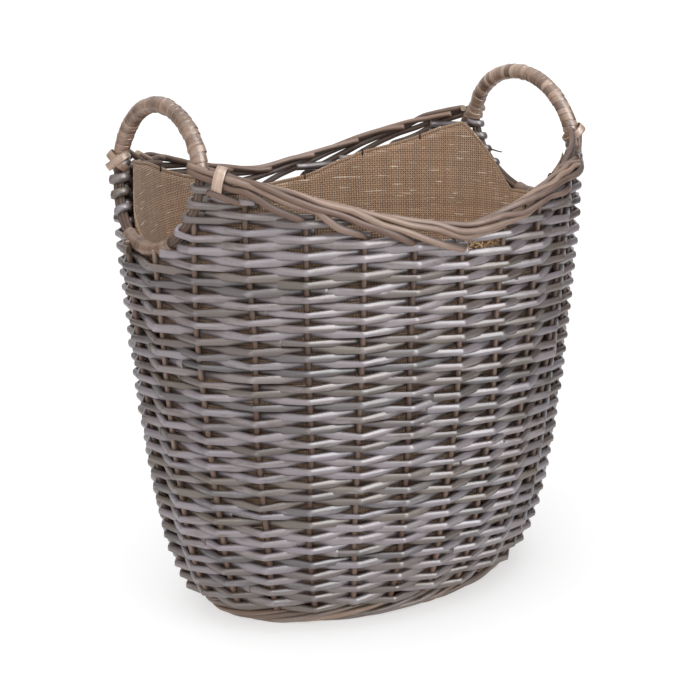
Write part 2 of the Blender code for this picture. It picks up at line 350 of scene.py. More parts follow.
def rodFinish(name, look):
    # willow: a colour for each rod, streaks along it, a worn pale wash outside and painted shade between the
    # rods, darkest where a rod lies back in the wall
    made = Finish(name, specular=look["specular"])
    tone, shade, proud = made.value("tone"), made.value("shade"), made.value("proud")
    colour = made.node("ShaderNodeValToRGB", {"stops": look["tones"]}, {"Fac": tone}, "Color")
    grain = made.noise(made.uv((14, 330)), 1.0, 4.0)
    patches = made.noise(made.uv((22, 40)), 1.0, 3.0)
    shift = made.node("ShaderNodeCombineXYZ", {}, {"X": tone * 37, "Y": shade * 53, "Z": 0.0})
    place = made.node("ShaderNodeVectorMath", {"operation": "ADD"}, {0: made.uv((30, 60)), 1: shift})
    worn = made.noise(place, 1.0, 4.0, 0.6)
    colour = made.mix(made.between(grain, 0.35, 0.68) * 0.45, colour, look["streak"])
    colour = made.mix(made.between(worn + (shade - 0.5) * look["washSpread"], 0.46, 0.68) * look["wash"],
                      colour, look["washColour"])
    specks = made.between(made.noise(made.uv((260, 330)), 1.0, 2.0), 0.70, 0.76)
    colour = made.mix(specks * 0.6, colour, look["speck"])
    rust = made.between(patches, 0.60, 0.74)
    colour = made.mix(rust * look["rust"], colour, look["rustColour"])
    bared = proud.maths("MAXIMUM", proud * -1 - 0.004)     # the side towards the liner gets no painted shade either
    # painted shade: the colour darkens towards the shade colour where a rod's surface lies back in the wall,
    # between and behind its neighbours
    shadeFade = made.between(bared, look["shadeFade"][0], look["shadeFade"][1])
    colour = made.mix((1 - shadeFade) * look["paintedShade"], colour, look["paintedShadeColour"])
    # the front of each bend is painted pale: partly worn bark, partly a painted highlight where the bend
    # faces the light
    if "crease" in look:
        low, high, share = look["crease"]
        colour = made.mix(made.between(proud, low, high) * share, colour, look["washColour"])
    colour = made.mix(made.value("cut"), colour, look["cutColour"])
    made.feed("Base Color", colour)
    made.feed("Roughness", look["rough"] + grain * 0.16 + (1 - shadeFade) * 0.12)
    made.bump(grain + made.noise(made.uv((160, 420)), 1.0, 3.0) * 0.6, 0.35, 0.0006)
    return made.material


washedWillow = rodFinish("washed_willow", {
    "tones": [(0.0, (0.049, 0.034, 0.030)), (0.2, (0.107, 0.079, 0.055)), (0.4, (0.131, 0.099, 0.087)),
              (0.6, (0.063, 0.053, 0.056)), (0.8, (0.188, 0.150, 0.149)), (1.0, (0.087, 0.062, 0.050))],
    "streak": (0.047, 0.033, 0.028), "wash": 0.46, "washSpread": 0.60, "washColour": (0.296, 0.261, 0.297),
    "speck": (0.019, 0.013, 0.011), "rust": 0.30, "rustColour": (0.141, 0.067, 0.043),
    "shadeFade": (-0.0070, 0.0020), "paintedShade": 0.84, "paintedShadeColour": (0.024, 0.014, 0.010),
    "cutColour": (0.085, 0.064, 0.048), "crease": (0.0088, 0.0098, 0.40), "rough": 0.30, "specular": 1.0})
stakeWillow = rodFinish("stake_willow", {
    "tones": [(0.0, (0.120, 0.066, 0.045)), (0.5, (0.205, 0.122, 0.086)), (1.0, (0.320, 0.212, 0.158))],
    "streak": (0.070, 0.036, 0.024), "wash": 0.22, "washSpread": 0.3, "washColour": (0.380, 0.290, 0.240),
    "speck": (0.022, 0.014, 0.010), "rust": 0.35, "rustColour": (0.210, 0.096, 0.056),
    "shadeFade": (-0.0022, 0.0026), "paintedShade": 0.84, "paintedShadeColour": (0.040, 0.020, 0.013),
    "cutColour": (0.400, 0.300, 0.210), "rough": 0.42, "specular": 0.5})


weave = {
    "firstRow": 0.0245,
    "rowGap": 0.00685,
    "buttRadius": 0.0045,
    "tipRadius": 0.0036,
    "depth": 0.80,           # a packed rod is flatter through the wall than it is tall
    "squareness": 0.66,      # 1 is a round section, less gives it flatter faces
    "pinch": 0.23,           # how much thinner a rod is where it is bent at a stake
    "steps": (0, 0.035, 0.11, 0.27, 0.5, 0.73, 0.89, 0.965),    # its points from one stake to the next
    "straight": 0.85,        # 1 is a straight run from stake to stake, 0 follows the wall's curve
    "jitter": 0.0010,
    "uneven": 0.085,         # how much its thickness varies
    "laps": (0.28, 0.66),    # how far past the other rod's end a rod's end lies, in stakes
    "pointSpacing": 0.0024,
    "sillTop": 0.3640,
    "underBorder": 0.0098,
    "hookReach": 0.0036,
    "insideLevel": -0.004,   # how proud a rod counts as inside the wall
    "hookTaper": {"farRight": 0.74, "farLeft": 0.98, "nearLeft": 0.80, "nearRight": 0.80},
    "sillRoom": 0.0125,      # rods lower than this over a sill's middle end behind it
    "shortFall": {"farRight": -0.4, "farLeft": -0.4, "nearLeft": -0.5, "nearRight": -0.5},
    "steep": 0.42,           # above this share of the border's rise the short fall is a quarter of that
    "tuck": 0.16,            # how far behind a stake a rod ends
    "gap": (21, 20, 0.3675),     # the near side's rows above this height stop at these stakes
}


def rodRadius(share):
    # thick at the butt, thinner at the tip
    return weave["buttRadius"] + (weave["tipRadius"] - weave["buttRadius"]) * share


def wallRod(first, last, height, side, draw, share=(0.0, 1.0)):
    # a weaver from one stake number to another: straight runs that are bent sharply in front of one stake and
    # behind the next. Each row of the table is a point, its outward direction, its radius and its offset
    whole = np.arange(math.floor(min(first, last)), math.ceil(max(first, last)) + 1)
    number = (whole[:, None] + np.array(weave["steps"])[None]).ravel()
    low, high = min(first, last), max(first, last)
    number = np.concatenate([[low], number[(number > low + 0.02) & (number < high - 0.02)], [high]])
    if first > last:
        number = number[::-1]
    bends = np.arange(whole[0], whole[-1] + 2)
    lift = draw.normal(0, weave["jitter"], len(bends))
    thick = 1 + draw.normal(0, weave["uneven"], len(bends))
    radius = rodRadius(np.linspace(*share, len(number))) * np.interp(number, bends, thick)
    reach = (wall["stakeRadius"] + 0.95 * weave["depth"] * radius.mean()) * side * np.where(bends % 2, -1, 1)
    offset = np.interp(number, bends, reach)
    z = height + np.interp(number, bends, lift)
    curved = wallPoint(stakeAngle(number), z, offset)
    corner = wallPoint(stakeAngle(bends), height + lift, reach)
    run = np.stack([np.interp(number, bends, corner[:, k]) for k in range(3)], 1)
    path = weave["straight"] * run + (1 - weave["straight"]) * curved
    radius = radius * (1.05 - weave["pinch"] * np.abs(np.cos(math.pi * number)) ** 1.5)
    return np.column_stack([path, wallOut(stakeAngle(number), z), radius, offset])


def asRod(table, draw, **more):
    return newRod(draw, table[:, :3], table[:, 3:6], table[:, 6], proud=table[:, 7], **more)


def asWeaver(table, draw):
    return asRod(table, draw, depth=weave["depth"], squareness=weave["squareness"])


def fullRow(height, side, draw):
    # a full round of weaving: two rods, each tucked behind a stake where it meets the other
    joints = np.sort(draw.choice(wall["stakes"] // 2, 2, replace=False)) * 2.0
    joints = joints + (1.0 if side > 0 else 0.0)
    lap = draw.uniform(*weave["laps"], 2)
    spans = ((joints[0], joints[1] + lap[0]), (joints[1], joints[0] + wall["stakes"] + lap[1]))
    rods = []
    for first, last in spans:
        span = (last - first) / wall["stakes"]
        begin = draw.uniform(0, 0.9 - 0.8 * span) if span < 1 else 0.0
        share = (begin, begin + span)
        if draw.random() < 0.5:
            share = share[::-1]
        rods.append(asWeaver(wallRod(first, last, height, side, draw, share), draw))
    return rods


def stakeNumber(angle):
    # the stake number at an angle between 0 and a full turn
    return 0.5 + wall["stakes"] * np.interp(angle, walkedAngles, walkedShares)


# the four corners of the basket, as stake numbers worked out from the far right one
corners = {
    "farRight": (1, 1, lambda n: n),
    "farLeft": (-1, 1, lambda n: 14 - n),
    "nearLeft": (-1, -1, lambda n: n + 13),
    "nearRight": (1, -1, lambda n: 27 - n),
}


def ringTurnAt(height):
    # the turn, below the far leg, at which a hoop's lower half passes a height
    return np.arcsin(np.clip((height - hoop["height"]) / hoop["halfHeight"], -1, 1))


def hookRound(corner, height, radius, whole):
    # a rod's end at a hoop: turned round it, from inside the basket through the hand hole and one row lower
    # outside, or, when it isn't whole, only tucked in behind it
    side, across, _ = corners[corner]
    turn = ringTurnAt(height)
    centre = ringPoint(side, turn) * np.array([1, across, 1])
    middle, outwards, _ = hoopAxes(side)
    inwards = middle - centre
    inwards = unit(inwards - inwards.dot(outwards) * outwards)
    count, lastTurn, lastLevel = (16, 4, 0.0035) if whole else (5, 168, weave["insideLevel"])
    turns = np.radians(np.linspace(225, lastTurn, count))[:, None]
    spoke = np.cos(turns) * outwards + np.sin(turns) * inwards
    reach = weave["hookReach"] + radius * weave["depth"]
    along = np.cross(outwards, inwards) * side * across
    rise = np.linspace(weave["rowGap"] if whole else 0, 0, count)[:, None] * along * np.sign(along[2])
    level = np.linspace(weave["insideLevel"], lastLevel, count)
    return np.column_stack([centre + spoke * reach + rise, spoke, np.full(count, radius), level])


def shoulderRod(first, last, height, row, draw, hooks):
    # a rod of the weaving beside the hand holes; hooks names the corners whose hoop it ends at
    table = wallRod(first, last, height, 1 if row % 2 else -1, draw, (0.0, 0.5))
    taper, thinned = weave["hookTaper"], [0, 10]     # the points over which a rod thins towards its hoop
    turned = row % 2 == 0
    if height < hoop["height"] - hoop["halfHeight"] + weave["sillRoom"]:
        return asWeaver(table, draw)
    if hooks[0]:
        table[:, 6] *= np.interp(np.arange(len(table)), thinned, [taper[hooks[0]], 1])
        whole = turned and hooks[0] != "nearRight"      # the fan's rods hide that one
        table = np.concatenate([hookRound(hooks[0], height, table[0, 6], whole), table])
    if hooks[1]:
        table[:, 6] *= np.interp(np.arange(len(table))[::-1], thinned, [taper[hooks[1]], 1])
        table = np.concatenate([table, hookRound(hooks[1], height, table[-1, 6], turned)[::-1]])
    return asWeaver(evenly(table, weave["pointSpacing"], 1), draw)


def buildRows():
    draw = np.random.default_rng(11)
    bands = [[] for _ in range(6)]
    edges = [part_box(f"weave_course_{k}")[1][2] for k in range(1, 7)]
    row, height = 0, weave["firstRow"]
    while height < weave["sillTop"]:
        side = 1 if row % 2 else -1
        band = min(5, int(np.searchsorted(edges, height)))
        bands[band] += fullRow(height, side, draw)
        row += 1
        height += weave["rowGap"]
    for k, rods in enumerate(bands, 1):
        rodPiece(f"weavers_{k}", rods, washedWillow, "washed_willow", f"weave_course_{k}")
    print("weaving:", row, "full rows")
    return row, height


firstShoulderRow, firstShoulderHeight = buildRows()


border = {
    "run": 4.3,              # how many stakes a top runs past before it is tucked in
    "turnPerStake": math.radians(54),
    "depth": 0.0052,         # how far the rods lie from the border's middle, outwards and upwards
    "height": 0.0065,
    "offset": 0.0030,
    "wander": 0.0008,
    "radius": 0.0034,
    "tipRadius": 0.0029,
    "dive": 0.0085,          # how far under the border a top starts its run, and how far out it passes
    "diveOut": 0.0050,
    "diveLength": 1.35,
    "plain": (21, 22),       # the stakes whose tops rise straight into the border
    "legRoom": 0.0084,       # how far from a hoop's leg a rod passes it
    "legNumber": 2.1,        # the stake number of a hoop's leg, in the far right corner
    "stopShort": 0.30,
    "passLeg": 0.06,
    "tieHeight": {"far": 0.4400, "near": 0.4455},    # where the fans are tied to a leg
}


def buildShoulders():
    # the rows beside the hand holes: whole from hoop to hoop below the border's dip, and above it two rods a
    # row, which end behind the last stake that stands as high as they do
    draw = np.random.default_rng(23)
    rods = {"far": [], "near": []}
    row, height = firstShoulderRow, firstShoulderHeight
    while height < wall["endHeight"] - weave["underBorder"] - 0.004:
        width = halfSizes(height)[1]
        ringAngle = np.arcsin(hoop["halfWidth"] * np.cos(ringTurnAt(height)) / width)
        begin = stakeNumber(ringAngle) + 0.34
        lift = (height + weave["underBorder"] - wall["dipHeight"]) / (wall["endHeight"] - wall["dipHeight"])
        for label, right, left in (("far", "farRight", "farLeft"), ("near", "nearRight", "nearLeft")):
            if lift <= 0:
                first, last = corners[right][2](begin), corners[left][2](begin)
                if label == "near" and height > weave["gap"][2]:
                    rods[label].append(shoulderRod(first, weave["gap"][0], height, row, draw, (right, None)))
                    rods[label].append(shoulderRod(weave["gap"][1], last, height, row, draw, (None, left)))
                else:
                    rods[label].append(shoulderRod(first, last, height, row, draw, (right, left)))
                continue
            furthest = stakeNumber(math.acos(min(1, lift) ** (1 / wall["sweep"]))) + draw.uniform(0, 0.3)
            for corner in (right, left):
                finish = int(furthest - weave["shortFall"][corner] * (1 if lift < weave["steep"] else 0.25))
                place = corners[corner][2]
                if (place(finish) + row) % 2:
                    finish -= 1     # it ends behind a stake
                if height < min(border["tieHeight"].values()) - 0.004:
                    finish = max(finish, 3)
                finish += weave["tuck"]
                if finish > begin + 0.3:
                    rods[label].append(
                        shoulderRod(place(begin), place(finish), height, row, draw, (corner, None)))
        row += 1
        height += weave["rowGap"]
    for label in rods:
        rodPiece(f"shoulder_weavers_{label}", rods[label], washedWillow, "washed_willow",
                 f"shoulder_weave_{label}")
    print("weaving: shoulders up to row", row)


buildShoulders()


def legShare(number):
    # 1 at a hoop's leg, falling to 0 within half a stake's space
    near = np.abs((np.asarray(number) - 0.5) % 13 - 6.5)
    return np.exp(-((near - (7 - border["legNumber"])) / 0.36) ** 2)


def borderPoint(number, slot, grow=1.0):
    # a place in the border's bundle: slot is the angle round its middle, 0 outwards and a quarter turn up
    angle = stakeAngle(number)
    out = border["offset"] + border["depth"] * grow * np.cos(slot)
    share = legShare(number)
    out = out * (1 - share) + share * border["legRoom"] * np.where(np.cos(slot) > -0.2, 1, -1)
    return wallPoint(angle, rimHeight(angle) + border["height"] * grow * np.sin(slot), out)


def facingOut(numbers, slot):
    # the direction of a slot, away from the border's middle, at each stake number
    level = wallOut(stakeAngle(numbers), rimHeight(stakeAngle(numbers)))
    return np.cos(slot)[:, None] * level + np.sin(slot)[:, None] * np.array([0, 0, 1.0])


def borderRun(stake, begin, finish, draw, dive):
    # the run of a top along the border, from one stake number down to another, never quite straight
    number = np.linspace(begin, finish, max(6, int(abs(begin - finish) * 16)))
    marks = np.linspace(number[-1], number[0], 9)
    slot = math.radians(-90) + border["turnPerStake"] * (stake - number)
    slot = slot + np.interp(number, marks, draw.normal(0, 0.12, 9))
    stray = draw.normal(0, border["wander"], (9, 3))
    share = np.clip((stake - number) / (border["diveLength"] * draw.uniform(0.55, 1)), 0, 1)
    path = borderPoint(number, slot) + np.stack([np.interp(number, marks, stray[:, k]) for k in range(3)], 1)
    path[:, 2] -= border["dive"] * dive * (1 - share)
    return number, slot, path + wallOut(stakeAngle(number), path[:, 2]) \
        * (border["diveOut"] * dive * np.sin(math.pi * share))[:, None]


def makeStake(number):
    # an upright rod: tail on the base, up the wall, and its top rolled into the border or set into a hoop
    draw = np.random.default_rng(100 + number)
    angle = float(stakeAngle(number))
    width = halfSizes(hoop["height"])[1]
    across = abs(width * math.sin(angle)) / hoop["halfWidth"]
    underHoop = across < 1
    dive = 0.0 if number in border["plain"] else 1.0
    top = rimHeight(angle) - border["height"] - dive * border["dive"] - 0.001
    if underHoop:
        top = hoop["height"] - hoop["halfHeight"] * math.sqrt(1 - across ** 2)
    heights = np.linspace(0.024, top, 60)
    wobble = np.interp(heights, np.linspace(0, 0.5, 9), draw.normal(0, 0.0006, 9))
    lean = np.interp(heights, np.linspace(0, 0.5, 6), draw.normal(0, 0.012, 6))
    upright = wallPoint(angle + lean, heights, wobble)
    tail = wallPoint(angle, np.array([0.0202, 0.0202, 0.0212]), np.array([-0.020, -0.006, -0.001]))
    path = np.concatenate([tail, upright])
    out = np.concatenate([np.tile([0.0, 0.0, 1.0], (3, 1)), wallOut(np.full(60, angle), heights)])
    radius = np.linspace(wall["stakeRadius"] * 1.04, wall["stakeRadius"] * 0.88, len(path))
    # how proud the stake counts for the painted shade: its upright, set in the weave, gets darker painted
    # shade than its top in the border
    sunk = np.full(len(path), -0.0022)
    if not underHoop:
        half = 13 if number > 13.5 else 0
        stop = half + border["legNumber"] + border["stopShort"]
        finish = max(number - border["run"], stop)
        slotAtLeg = -90 + math.degrees(border["turnPerStake"]) * (number - half - border["legNumber"])
        if -20 < slotAtLeg < 70 and number - border["run"] < stop:
            finish = half + border["legNumber"] - border["passLeg"]
        numbers, slot, run = borderRun(number, number - 0.10, finish, draw, dive)
        path = np.concatenate([path, run])
        out = np.concatenate([out, facingOut(numbers, slot)])
        thick = np.linspace(border["radius"], border["tipRadius"], len(run)) * draw.uniform(0.92, 1.08)
        radius = np.concatenate([radius, thick])
        sunk = np.concatenate([sunk, np.full(len(run), -0.0002)])
    table = evenly(np.column_stack([path, out, radius, sunk]), 0.0026, 2)
    rodPiece(f"willow_stake_{number:02d}", [asRod(table, draw)], stakeWillow, "stake_willow",
             f"stake_{number:02d}", 10)


fan = {
    "rods": 5,
    "radius": 0.0027,
    "firstPlace": math.radians(-78),     # where the lowest rod lies round the leg, and the step to the next
    "placeStep": math.radians(38),
    "wrapReach": 0.0081,     # from the leg's middle to a rod's, less the sinking
    "sink": 0.0022,
    "spread": 0.175,         # how far the rods lie to each side of the leg at the tie, in stakes
    "entry": (2.30, 0.60),   # how far from the leg the highest rod enters the border; the lowest is nearer
    "shortest": 2.8,
    "drop": 0.0250,          # how far under the border the lowest rod bows
    "spacing": 0.0030,
    "freeFrom": 5,           # the points after these are past the tie
    "lift": 0.003,
}
stakeStep = 0.048            # metres from stake to stake, so that a stake number can be measured as a length


def makeFan(label, half):
    # the rods that are added at a hoop's leg: tied to its outside, they spread apart and meet in the border
    draw = np.random.default_rng(300 + half)
    rods = []
    leg = half + 14 - border["legNumber"]
    tieHeight = border["tieHeight"][label]
    for k in range(fan["rods"]):
        stake = leg + 0.1 + k
        low = 1 - k / (fan["rods"] - 1)
        place = fan["firstPlace"] + fan["placeStep"] * k
        tie = fan["wrapReach"] * math.cos(place) - fan["sink"]
        beside = fan["spread"] * math.sin(place)
        entry = leg - fan["entry"][0] + fan["entry"][1] * low
        last = max(stake - border["run"], half + 3, entry - fan["shortest"])
        numbers, slot, run = borderRun(stake, entry, last, draw, 1.0)
        rim = float(rimHeight(stakeAngle(leg - 0.42)))
        rimAfter = float(rimHeight(stakeAngle(leg - 1.0)))
        drop = fan["drop"] + draw.normal(0, 0.0008)
        # stake number, height and how far out of the wall, from the tie down along the bow
        marks = np.array([
            [leg + beside, tieHeight + 0.0065, tie],
            [leg + beside, tieHeight - 0.0070, tie + 0.0004],
            [leg - 0.12 + 0.7 * beside, tieHeight - 0.0160, 0.4 * tie + 0.0030],
            [leg - 0.48, rim - drop, 0.0062],
            [leg - 1.10, rimAfter - 0.62 * drop, 0.0072],
        ])
        smooth = evenly(marks * np.array([stakeStep, 1, 1]), fan["spacing"], 14)
        rise = wallPoint(stakeAngle(smooth[:, 0] / stakeStep), smooth[:, 1], smooth[:, 2])
        # the highest rod runs straight from the tie into the border, the lowest one bows out and down
        whole = evenly(np.concatenate([rise, run[:1]]), fan["spacing"])
        free = fan["freeFrom"]
        share = np.linspace(0, 1, len(whole) - free)[:, None]
        straight = whole[free] + (whole[-1] - whole[free]) * share
        straight = straight + np.array([0, 0, fan["lift"]]) * np.sin(math.pi * share)
        bowed = whole.copy()
        bowed[free:] += (1 - low) * (straight - whole[free:])
        path = np.concatenate([bowed, run[1:]])
        out = np.concatenate([unit(whole * np.array([1, 1, 0])), facingOut(numbers, slot)[1:]])
        radius = np.linspace(fan["radius"], border["tipRadius"], len(path)) * draw.uniform(0.92, 1.08)
        table = evenly(np.column_stack([path, out, radius]), fan["spacing"], 8)
        rods.append(newRod(draw, table[:, :3], table[:, 3:6], table[:, 6]))
    rodPiece(f"border_fan_{label}", rods, stakeWillow, "buff_willow", f"rim_border_{label}", 10)


for number in range(1, wall["stakes"] + 1):
    makeStake(number)
makeFan("far", 0)
makeFan("near", 13)
print("stakes and border rolled")

view = {"place": (-0.8937, -1.3912, 0.7027), "azimuth": math.radians(32.532),
        "elevation": math.radians(15.685), "roll": math.radians(-0.870), "lens": 88.25}

wrap = {
    "gripRadius": 0.0068,
    "sillRadius": 0.0056,
    "bandWidth": 0.0062,
    "ridge": 0.00075,        # how far a band stands above the groove beside it
    "gripTurns": (math.radians(8), math.radians(172)),
    "sillTurns": {-1: (math.radians(-126), math.radians(-62)), 1: (math.radians(-134), math.radians(-72))},
    "pale": {-1: 0.56, 1: 1.06},     # how light the palest bands of a grip are
    "palestSill": 0.30,
    "sides": 26,
    "spacing": 0.0003,       # fine enough to show each band's edge
    "coreRods": 4,
    "coreReach": 0.0028,
    "coreRadius": 0.0023,
}


def hoopPath(side, first, last, spacing):
    # points along a hoop, and the direction away from its middle at each
    turn = np.linspace(first, last, 800)
    path = ringPoint(side, turn)
    return evenly(np.column_stack([path, unit(path - hoopAxes(side)[0])]), spacing)


def wrapping(name, side, turns, radius, seed, pale):
    # a band wound round the hoop: the radius rises over each turn's width and drops at its edge
    draw = np.random.default_rng(seed)
    table = hoopPath(side, *turns, wrap["spacing"])
    path, count, sides = table[:, :3], len(table), wrap["sides"]
    out, beside = acrossPath(path, table[:, 3:6])
    widths = wrap["bandWidth"] * draw.uniform(0.62, 1.35, 90)
    edges = np.concatenate([[0], np.cumsum(widths)]) - 0.004
    walked = walkedAlong(path)
    phi = 2 * math.pi * np.arange(sides) / sides
    wound = np.interp(walked, edges, np.arange(len(edges)))[:, None] + side * phi[None] / (2 * math.pi) + 1
    band, share = np.floor(wound).astype(int), wound % 1
    height = draw.normal(0, 0.00022, 200)[band]
    groove = np.minimum(share / 0.07, (1 - share) / 0.10).clip(0, 1)
    rise = wrap["ridge"] * (groove ** 0.6 + 0.55 * (share - 0.5)) + height * groove
    reach = radius + rise
    points = path[:, None] + reach[..., None] * (np.cos(phi)[None, :, None] * out[:, None]
                                                 + np.sin(phi)[None, :, None] * beside[:, None])
    quads, i, j, _ = roundGrid(count, sides)
    # the pattern runs along the band, so its first direction goes round the hoop
    u = np.stack([j, j + 1, j + 1, j], -1) / sides * 0.05 + (band[i, j] * 0.37)[..., None]
    v = np.stack([walked[i], walked[i], walked[i + 1], walked[i + 1]], -1)
    caps = [np.arange(sides)[::-1].tolist(), ((count - 1) * sides + np.arange(sides)).tolist()]
    # the grooves between the bands count as sunk, so the cane's finish paints shade into them as dark lines
    values = {"tone": pale * draw.random(200)[band].ravel(), "shade": draw.random(200)[band].ravel(),
              "proud": (0.003 - 0.016 * (1 - groove)).ravel()}
    uv = np.stack([u, v], -1).reshape(-1, 2)
    return meshFrom(name, points.reshape(-1, 3), quads.reshape(-1, 4), caps, uv, values)


def coreRods(side, seed):
    # the thin rods inside a hoop, twisted slowly round each other
    draw = np.random.default_rng(seed)
    table = hoopPath(side, 0, 2 * math.pi * 1.002, 0.004)
    path = table[:, :3]
    out, beside = acrossPath(path, table[:, 3:6])
    # the rods count as sunk inside the wrap, so their sides get painted shade
    radius, proud = np.full(len(path), wrap["coreRadius"]), np.full(len(path), -0.004)
    rods = []
    for k in range(wrap["coreRods"]):
        twist = (2 * math.pi * k / wrap["coreRods"] + np.linspace(0, 2 * math.pi, len(path)))[:, None]
        spoke = np.cos(twist) * out + np.sin(twist) * beside
        rods.append(newRod(draw, path + spoke * wrap["coreReach"], spoke, radius, proud=proud))
    return rods


lashing = {
    "points": 64,
    "firstTurn": math.radians(150),
    "turns": math.radians(380),          # its ends lap
    "tilts": {"far": (38, -38), "near": (-40,)},     # each crossed strap's slant, in degrees
    "crossedOut": 0.0022,
    "crossedReach": (0.0104, 0.0128),    # half sizes, outwards and along the hoop's side
    "layer": 0.0007,         # how much wider a strap over another is
    "crossedWidth": 0.0078,
    "crossedTone": {"far": (0.50, 0.70), "near": (0.95,)},
    "strapReach": (0.0100, 0.0120),
    "strapWidth": 0.0100,
    "straps": (("right_far", 0, 0.22, 0.7, 0.25), ("left_near", 13, 0.46, 0.0, 0.85)),   # place, slant, tone
}


def strapLoop(centre, normal, out, reach, width, seed, tone):
    # a flat cane strip round a bundle: an oval loop at right angles to normal, its ends lapped
    draw = np.random.default_rng(seed)
    count = lashing["points"]
    normal = unit(np.asarray(normal, float))
    out = unit(out - np.dot(out, normal) * normal)
    beside = np.cross(normal, out)
    turn = lashing["firstTurn"] + np.linspace(0, lashing["turns"], count)[:, None]
    grow = 1 + 0.05 * np.linspace(0, 1, count)[:, None]
    path = centre + grow * (reach[0] * np.cos(turn) * out + reach[1] * np.sin(turn) * beside)
    spoke = unit(np.cos(turn) / reach[0] * out + np.sin(turn) / reach[1] * beside)
    return {"path": path, "out": spoke, "radius": np.full(count, width / 2), "depth": 0.0011 / width,
            "tone": tone, "shade": draw.uniform(0.4, 0.9), "start": draw.random() * 9,
            "proud": np.full(count, 0.003)}


def makeLooseTip():
    # a thin tip that was left sticking out of the weaving at the right hand hole
    t = np.linspace(0, 1, 14)[:, None]
    start = ringPoint(1, math.radians(-24)) + np.array([0.001, 0.004, 0])
    path = start + t * np.array([0.004, -0.030, 0.001]) + np.sin(t * 5) * np.array([0.0004, 0, 0.0008])
    rod = {"path": path, "out": np.tile([0.0, 0.0, 1.0], (14, 1)), "radius": np.linspace(0.0012, 0.0006, 14),
           "tone": 0.1, "shade": 0.3, "start": 0.0}
    rodPiece("loose_tip", [rod], stakeWillow, "washed_willow", sides=6)


def makeHoops():
    for label, side, seed in (("left", -1, 41), ("right", 1, 43)):
        rodPiece(f"hoop_rods_{label}", coreRods(side, seed), stakeWillow, "buff_willow",
                 f"handle_hoop_{label}")
        for part, turns, pale, add in (("grip", wrap["gripTurns"], wrap["pale"][side], 100),
                                       ("sill", wrap["sillTurns"][side], wrap["palestSill"], 200)):
            name = f"{part}_cane_{label}"
            mesh = wrapping(name, side, turns, wrap[part + "Radius"], seed + add, pale)
            piece(name, mesh, caneSkin, "split_cane", f"{part}_wrap_{label}")


def makeLashings():
    # slanted straps where the fans go over a leg, and one strap round the border beside each other leg
    level = np.array([math.cos(view["azimuth"]), -math.sin(view["azimuth"]), 0])
    for label, side, across, end in (("left_far", -1, 1, "far"), ("right_near", 1, -1, "near")):
        turn = math.asin((border["tieHeight"][end] - hoop["height"]) / hoop["halfHeight"])
        _, outwards, upwards = hoopAxes(side)
        centre = ringPoint(side, turn) * np.array([1, across, 1]) + lashing["crossedOut"] * outwards
        tilts, loops = lashing["tilts"][end], []
        for k, tilt in enumerate(tilts):
            normal = math.cos(math.radians(tilt)) * upwards + math.sin(math.radians(tilt)) * level
            reach = np.array(lashing["crossedReach"]) + lashing["layer"] * k
            loops.append(strapLoop(centre, normal, outwards, reach, lashing["crossedWidth"],
                                   60 + k + len(tilts), lashing["crossedTone"][end][k]))
        rodPiece(f"crossed_lashing_{label}", loops, caneSkin, "split_cane", f"cane_lashing_{label}", 10)
    for label, half, beyond, slant, tone in lashing["straps"]:
        number = half + border["legNumber"] + beyond
        centre = borderPoint(number, math.radians(90), 0.0)
        run = unit(borderPoint(number + 0.1, 0, 0.0) - borderPoint(number - 0.1, 0, 0.0))
        loop = strapLoop(centre, run + slant * np.array([0, 0, 1.0]), wallOut(stakeAngle(number), centre[2]),
                         lashing["strapReach"], lashing["strapWidth"], 80 + half, tone)
        rodPiece(f"border_strap_{label}", [loop], caneSkin, "split_cane", f"cane_lashing_{label}", 10)


caneSkin = rodFinish("split_cane", {
    "tones": [(0.0, (0.130, 0.076, 0.052)), (0.35, (0.235, 0.144, 0.098)), (0.7, (0.375, 0.245, 0.176)),
              (1.0, (0.500, 0.358, 0.272))],
    "streak": (0.085, 0.050, 0.034), "wash": 0.16, "washSpread": 0.3, "washColour": (0.450, 0.365, 0.305),
    "speck": (0.050, 0.030, 0.020), "rust": 0.45, "rustColour": (0.330, 0.160, 0.090),
    "shadeFade": (-0.0125, 0.0005), "paintedShade": 0.92, "paintedShadeColour": (0.018, 0.011, 0.008),
    "cutColour": (0.070, 0.048, 0.036), "rough": 0.30, "specular": 0.8})
makeHoops()
makeLooseTip()
makeLashings()
print("hoops wrapped and lashed")

foot = {"halfLength": 0.1635, "halfWidth": 0.1045, "height": 0.0088, "reach": 0.0052, "radius": 0.0031,
        "strands": 6, "twists": 4, "wander": 0.42, "uneven": 0.07}
mat = {"rounds": 13, "firstInset": 0.0125, "step": 0.0069, "height": 0.0084, "wave": 0.0022, "radius": 0.0034}


def ovalPoint(halfLength, halfWidth, angle, height, offset):
    # a point on a level oval, moved out at right angles to it
    out = unit(np.stack([np.cos(angle) / halfLength, np.sin(angle) / halfWidth, np.zeros_like(angle)], -1))
    return np.stack([halfLength * np.cos(angle), halfWidth * np.sin(angle), height + 0 * angle], -1) \
        + out * offset[:, None], out


def makeFoot():
    # strands of thin rods twisted round the foot's oval; each strand is one closed round
    draw = np.random.default_rng(71)
    rods = []
    number = np.linspace(0.5, wall["stakes"] + 0.62, 760)
    angle = stakeAngle(number)
    for k in range(foot["strands"]):
        wander = np.interp(number, np.arange(0, 29), draw.normal(0, foot["wander"], 29))
        rounds = (number - 0.5) / wall["stakes"]
        twist = 2 * math.pi * (k / foot["strands"] + foot["twists"] * rounds) + wander
        uneven = np.interp(number, np.arange(0, 29, 2), draw.normal(0, foot["uneven"], 15))
        thick = foot["radius"] * (1 + uneven)
        height = foot["height"] + 0.9 * foot["reach"] * np.sin(twist)
        path, out = ovalPoint(foot["halfLength"], foot["halfWidth"], angle, height,
                              foot["reach"] * np.cos(twist))
        path[:, 2] = np.maximum(path[:, 2], thick + 0.0001)
        spoke = np.cos(twist)[:, None] * out + np.sin(twist)[:, None] * np.array([0, 0, 1.0])
        rods.append(newRod(draw, path, spoke, thick))
    rodPiece("foot_rods", rods, footWillow, "buff_willow", "foot_border")


